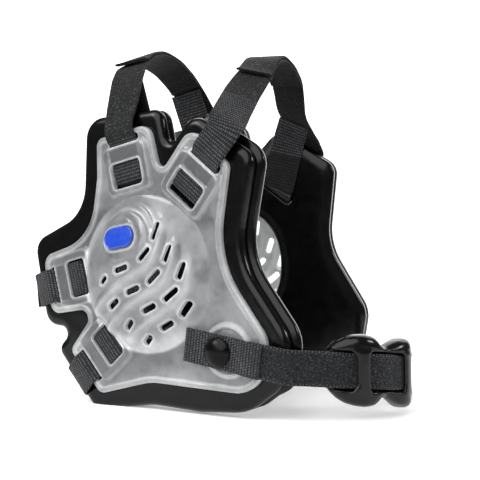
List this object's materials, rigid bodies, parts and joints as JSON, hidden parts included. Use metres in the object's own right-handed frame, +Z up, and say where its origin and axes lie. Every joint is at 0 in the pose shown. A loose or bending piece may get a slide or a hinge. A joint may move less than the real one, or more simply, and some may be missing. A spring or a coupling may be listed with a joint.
{
  "type": "wrestling ear guard",
  "caption": "Wrestling headgear: padded translucent ear shells with vented domes, joined by adjustable crown and nape straps and a chin strap with a soft cup.",
  "frame": {"origin": "middle of the footprint at the level of the pads' bottom faces", "axes": "+X to the face, +Y to the wearer's left, +Z up"},
  "size_m": [0.2336, 0.16, 0.1992],
  "materials": {
    "shell_plastic": "frosted translucent moulded shell",
    "pad_vinyl": "dipped vinyl skin over foam, satin gloss",
    "cup_vinyl": "dipped vinyl skin over foam, gloss",
    "webbing": "woven hook-and-loop webbing",
    "loop_pile": "knitted loop pile with a stitched border",
    "snap_plastic": "gloss black moulded cap",
    "badge_plastic": "blank domed inlay"
  },
  "bodies": {
    "root": {"right_shell": "shell_plastic", "right_pad": "pad_vinyl", "right_badge": "badge_plastic", "right_snap": "snap_plastic", "crown_rear_right": "webbing", "crown_front_right": "webbing", "nape_upper_right": "webbing", "nape_lower_right": "webbing", "chin_tab_right": "webbing", "left_shell": "shell_plastic", "left_pad": "pad_vinyl", "left_badge": "badge_plastic", "left_snap": "snap_plastic", "crown_rear_left": "webbing", "crown_front_left": "webbing", "nape_upper_left": "webbing", "nape_lower_left": "webbing", "chin_tab_left": "webbing", "chin_strap": "loop_pile", "chin_cup": "cup_vinyl"}
  },
  "joints": []
}
